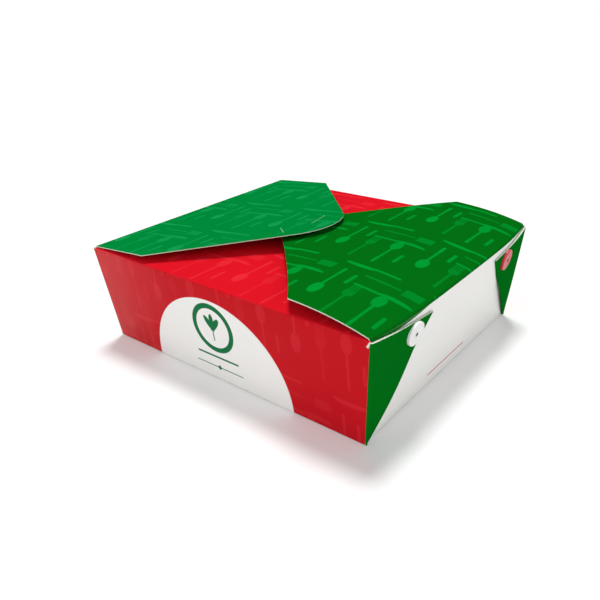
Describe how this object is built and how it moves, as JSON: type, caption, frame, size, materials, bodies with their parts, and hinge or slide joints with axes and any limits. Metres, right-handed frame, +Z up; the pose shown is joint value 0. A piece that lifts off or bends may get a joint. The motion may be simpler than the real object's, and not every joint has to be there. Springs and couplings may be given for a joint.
{
  "type": "pasta takeout box",
  "caption": "Low card takeout box with leaning walls, corner gussets riveted to the ends, side flaps tucked in first and end flaps closing over them.",
  "frame": {"origin": "middle of the base's underside, on the surface that the box stands on", "axes": "+Z up, X along the 15 cm side with the outer flap's fold at -X, Y along the 13 cm side"},
  "size_m": [0.1631, 0.1386, 0.0572],
  "materials": {
    "printed_card": "coated printed card, satin",
    "green_card": "coated printed card, satin",
    "white_rivet": "smooth moulded plastic",
    "red_rivet": "smooth moulded plastic"
  },
  "bodies": {
    "box": {"carton": "printed_card", "rivet_front_right": "white_rivet", "rivet_back_right": "red_rivet", "rivet_front_left": "white_rivet", "rivet_back_left": "red_rivet"},
    "flap": {"outer_flap": "green_card"}
  },
  "joints": [
    {"name": "outer_flap_fold", "type": "hinge", "parent": "box", "child": "flap", "pos_m": [-0.07765, 0, 0.049], "axis": [0, -1, 0], "range_deg": [0, 180]}
  ]
}
